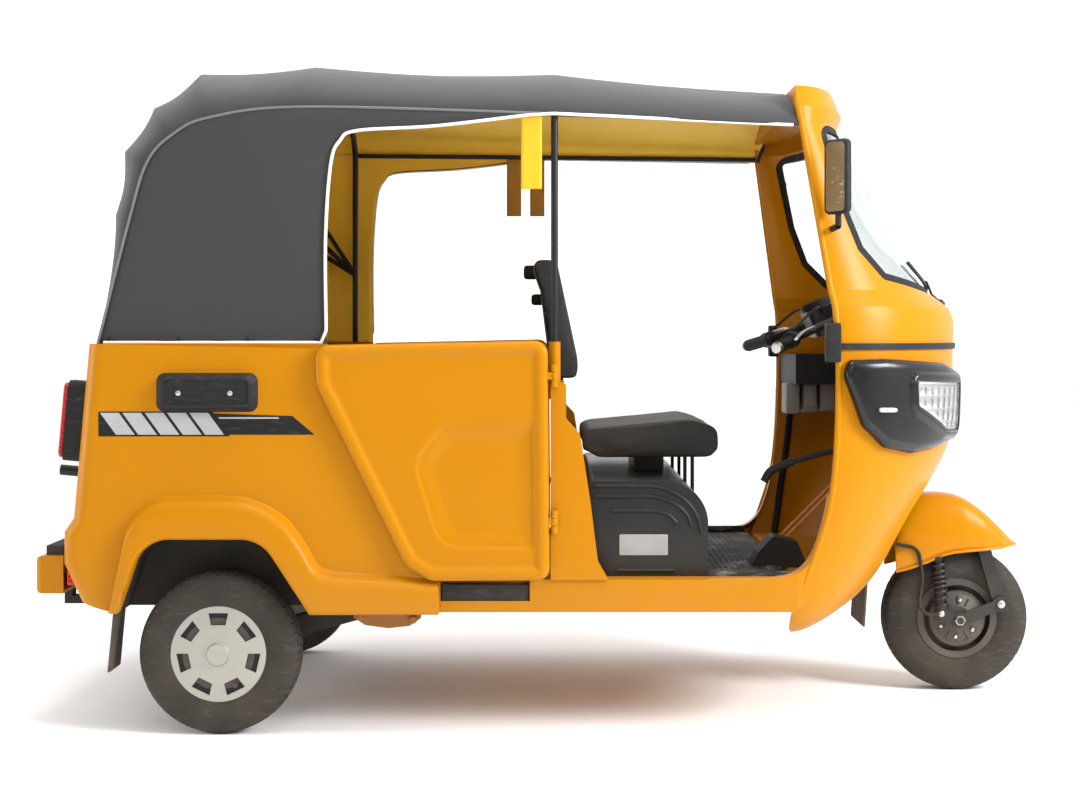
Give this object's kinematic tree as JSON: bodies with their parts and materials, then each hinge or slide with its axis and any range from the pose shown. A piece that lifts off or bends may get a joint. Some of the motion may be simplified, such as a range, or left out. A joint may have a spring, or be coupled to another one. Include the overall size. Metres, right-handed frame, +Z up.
{
  "type": "three-wheeled auto rickshaw",
  "caption": "Open-sided passenger auto rickshaw with a folding fabric hood, a steered front wheel under a rounded front shell, hinged side doors and a rear hatch.",
  "frame": {"origin": "centre of the footprint's bounding box, on the road", "axes": "+X forward along the length, +Y to the vehicle's left, +Z up"},
  "size_m": [2.67, 1.33, 1.7497],
  "materials": {
    "body_paint": "glossy yellow paint",
    "screen_glass": "clear laminated glass",
    "screen_rubber": "black rubber glazing strip",
    "trim_black": "grained black plastic",
    "lamp_black": "smooth black plastic",
    "lamp_clear": "clear fluted lens",
    "lamp_red": "red lens",
    "hood_fabric": "coated dark grey cloth",
    "window_vinyl": "clear soft vinyl",
    "frame_black": "satin black paint",
    "strap_fabric": "yellow webbing",
    "seat_vinyl": "dark seat covering",
    "engine_alloy": "dull cast alloy",
    "flap_rubber": "black rubber",
    "mirror_glass": "mirror glass",
    "lever_steel": "plain steel",
    "tyre_rubber": "black tyre rubber",
    "wheel_silver": "silver painted disc"
  },
  "bodies": {
    "body": {"floor_pan": "body_paint", "rear_tub": "body_paint", "wheel_housings": "body_paint", "partition": "body_paint", "front_shell": "body_paint", "steering_head": "body_paint", "bench_base": "body_paint", "rear_bumper": "body_paint", "windshield_glass": "screen_glass", "windshield_seal": "screen_rubber", "shell_trim": "trim_black", "side_vents": "trim_black", "side_steps": "trim_black", "dashboard": "trim_black", "mirror_shells": "trim_black", "tail_lamp_housings": "trim_black", "driver_seat_base": "trim_black", "headlamp_housings": "lamp_black", "headlamp_lenses": "lamp_clear", "tail_lamp_lenses": "lamp_red", "hood_top": "hood_fabric", "hood_sides": "hood_fabric", "rear_window": "window_vinyl", "hood_frame": "frame_black", "chassis_frame": "frame_black", "rear_suspension": "frame_black", "door_hinges": "frame_black", "hatch_hinges": "frame_black", "curtain_straps": "strap_fabric", "driver_cushion": "seat_vinyl", "driver_backrest": "seat_vinyl", "bench_cushion": "seat_vinyl", "bench_backrest": "seat_vinyl", "engine_block": "engine_alloy", "rubber_flaps": "flap_rubber", "foot_controls": "flap_rubber", "mirror_glasses": "mirror_glass", "brake_lever": "lever_steel"},
    "right_rear_wheel": {"rear_tyre_right": "tyre_rubber", "rear_rim_right": "wheel_silver"},
    "left_rear_wheel": {"rear_tyre_left": "tyre_rubber", "rear_rim_left": "wheel_silver"},
    "steering": {"fork": "frame_black", "handlebar": "frame_black", "front_mudguard": "body_paint", "brake_hose": "flap_rubber"},
    "front_wheel": {"front_tyre": "tyre_rubber", "front_rim": "frame_black"},
    "right_door": {"door_right": "body_paint"},
    "left_door": {"door_left": "body_paint"},
    "hatch": {"rear_lid": "body_paint", "hatch_fittings": "trim_black"}
  },
  "joints": [
    {"name": "right_rear_wheel_spin", "type": "hinge", "parent": "body", "child": "right_rear_wheel", "pos_m": [-0.855, -0.575, 0.205], "axis": [0, 1, 0], "continuous": true},
    {"name": "left_rear_wheel_spin", "type": "hinge", "parent": "body", "child": "left_rear_wheel", "pos_m": [-0.855, 0.575, 0.205], "axis": [0, 1, 0], "continuous": true},
    {"name": "steering_turn", "type": "hinge", "parent": "body", "child": "steering", "pos_m": [1.00894, 0, 0.46], "axis": [-0.3697, 0, 0.9291], "range_deg": [-40, 40]},
    {"name": "front_wheel_spin", "type": "hinge", "parent": "steering", "child": "front_wheel", "pos_m": [1.13, 0, 0.205], "axis": [0, 1, 0], "continuous": true},
    {"name": "right_door_hinge", "type": "hinge", "parent": "body", "child": "right_door", "pos_m": [-0.01, -0.655, 0.7], "axis": [0, 0, 1], "range_deg": [0, 80]},
    {"name": "left_door_hinge", "type": "hinge", "parent": "body", "child": "left_door", "pos_m": [-0.01, 0.655, 0.7], "axis": [0, 0, -1], "range_deg": [0, 80]},
    {"name": "hatch_hinge", "type": "hinge", "parent": "body", "child": "hatch", "pos_m": [-1.20461, 0, 0.87691], "axis": [0, 1, 0], "range_deg": [0, 75]}
  ]
}
